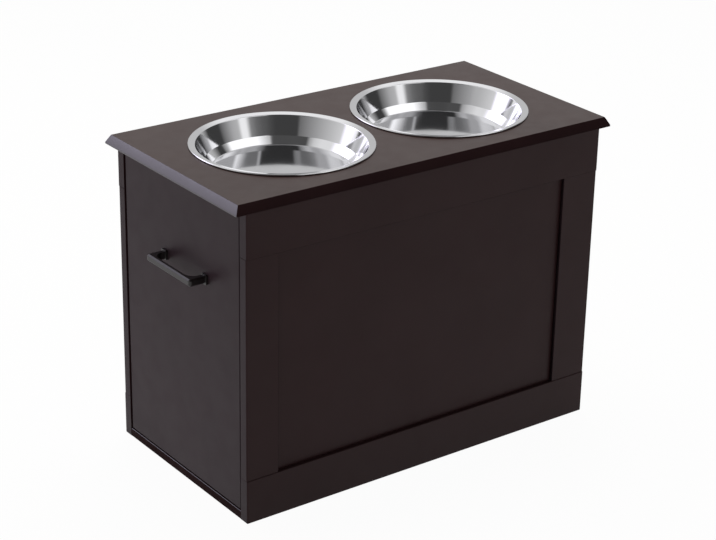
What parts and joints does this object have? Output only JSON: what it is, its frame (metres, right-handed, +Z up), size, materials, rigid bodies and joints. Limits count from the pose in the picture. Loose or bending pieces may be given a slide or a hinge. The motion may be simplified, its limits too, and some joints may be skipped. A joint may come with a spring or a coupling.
{
  "type": "elevated pet feeder",
  "caption": "Raised pet feeder: a dark frame-and-panel cabinet with drop-in steel bowls in its bevelled top and a deep storage drawer that pulls out of one end.",
  "frame": {"origin": "on the floor, at the centre of the cabinet's footprint", "axes": "+X along the cabinet's length, away from the drawer, which opens towards -X; -Y is the front long side; +Z is up"},
  "size_m": [0.609, 0.312, 0.4411],
  "materials": {
    "brown_board": "dark brown satin paint on board",
    "polished_steel": "mirror-polished stainless steel",
    "black_metal": "black satin coating",
    "beech": "bare turned beech",
    "runner_enamel": "black baked enamel on folded steel",
    "nylon": "natural moulded nylon",
    "cast_zinc": "tumbled zinc casting",
    "plated_steel": "bright zinc plate"
  },
  "bodies": {
    "cabinet": {"back_bottom_rail": "brown_board", "back_cabinet_runner": "runner_enamel", "back_drawer_end_stile": "brown_board", "back_far_end_stile": "brown_board", "back_frame_dowels": "beech", "back_side_panel": "brown_board", "back_top_rail": "brown_board", "base_board": "brown_board", "base_cam_bolts": "plated_steel", "base_cam_locks": "cast_zinc", "base_dowels": "beech", "cabinet_roller_axles": "plated_steel", "cabinet_runner_screws": "plated_steel", "end_cam_bolts": "plated_steel", "end_cam_locks": "cast_zinc", "end_panel": "brown_board", "front_bottom_rail": "brown_board", "front_cabinet_runner": "runner_enamel", "front_drawer_end_stile": "brown_board", "front_far_end_stile": "brown_board", "front_frame_dowels": "beech", "front_side_panel": "brown_board", "front_top_rail": "brown_board", "tabletop": "brown_board", "top_cam_bolts": "plated_steel", "top_cam_locks": "cast_zinc", "top_dowels": "beech"},
    "drawer": {"back_drawer_runner": "runner_enamel", "back_drawer_side": "brown_board", "drawer_bottom": "brown_board", "drawer_cam_bolts": "plated_steel", "drawer_cam_locks": "cast_zinc", "drawer_dowels": "beech", "drawer_front": "brown_board", "drawer_handle": "black_metal", "drawer_rear": "brown_board", "drawer_rear_screws": "plated_steel", "drawer_roller_axles": "plated_steel", "drawer_runner_screws": "plated_steel", "front_drawer_runner": "runner_enamel", "front_drawer_side": "brown_board", "handle_screws": "plated_steel"},
    "left_bowl": {"left_bowl": "polished_steel"},
    "right_bowl": {"right_bowl": "polished_steel"},
    "front_cabinet_roller": {"front_cabinet_roller": "nylon"},
    "back_cabinet_roller": {"back_cabinet_roller": "nylon"},
    "front_drawer_roller": {"front_drawer_roller": "nylon"},
    "back_drawer_roller": {"back_drawer_roller": "nylon"}
  },
  "joints": [
    {"name": "drawer_slide", "type": "slide", "parent": "cabinet", "child": "drawer", "axis": [-1, 0, 0], "range_m": [0, 0.375]},
    {"name": "left_bowl_lift", "type": "slide", "parent": "cabinet", "child": "left_bowl", "axis": [0, 0, 1], "range_m": [0, 0.06]},
    {"name": "right_bowl_lift", "type": "slide", "parent": "cabinet", "child": "right_bowl", "axis": [0, 0, 1], "range_m": [0, 0.06]},
    {"name": "front_cabinet_roller_spin", "type": "hinge", "parent": "cabinet", "child": "front_cabinet_roller", "pos_m": [-0.252, -0.13115, 0.0375], "axis": [0, -1, 0], "range_deg": [0, 1954]},
    {"name": "back_cabinet_roller_spin", "type": "hinge", "parent": "cabinet", "child": "back_cabinet_roller", "pos_m": [-0.252, 0.13115, 0.0375], "axis": [0, -1, 0], "range_deg": [0, 1954]},
    {"name": "front_drawer_roller_spin", "type": "hinge", "parent": "drawer", "child": "front_drawer_roller", "pos_m": [0.218, -0.13115, 0.0373], "axis": [0, -1, 0], "range_deg": [0, 1954]},
    {"name": "back_drawer_roller_spin", "type": "hinge", "parent": "drawer", "child": "back_drawer_roller", "pos_m": [0.218, 0.13115, 0.0373], "axis": [0, -1, 0], "range_deg": [0, 1954]}
  ],
  "couplings": [
    {"joint": "front_cabinet_roller_spin", "follows": "drawer_slide", "rad_per_m": 90.909},
    {"joint": "back_cabinet_roller_spin", "follows": "drawer_slide", "rad_per_m": 90.909},
    {"joint": "front_drawer_roller_spin", "follows": "drawer_slide", "rad_per_m": 90.909},
    {"joint": "back_drawer_roller_spin", "follows": "drawer_slide", "rad_per_m": 90.909}
  ]
}
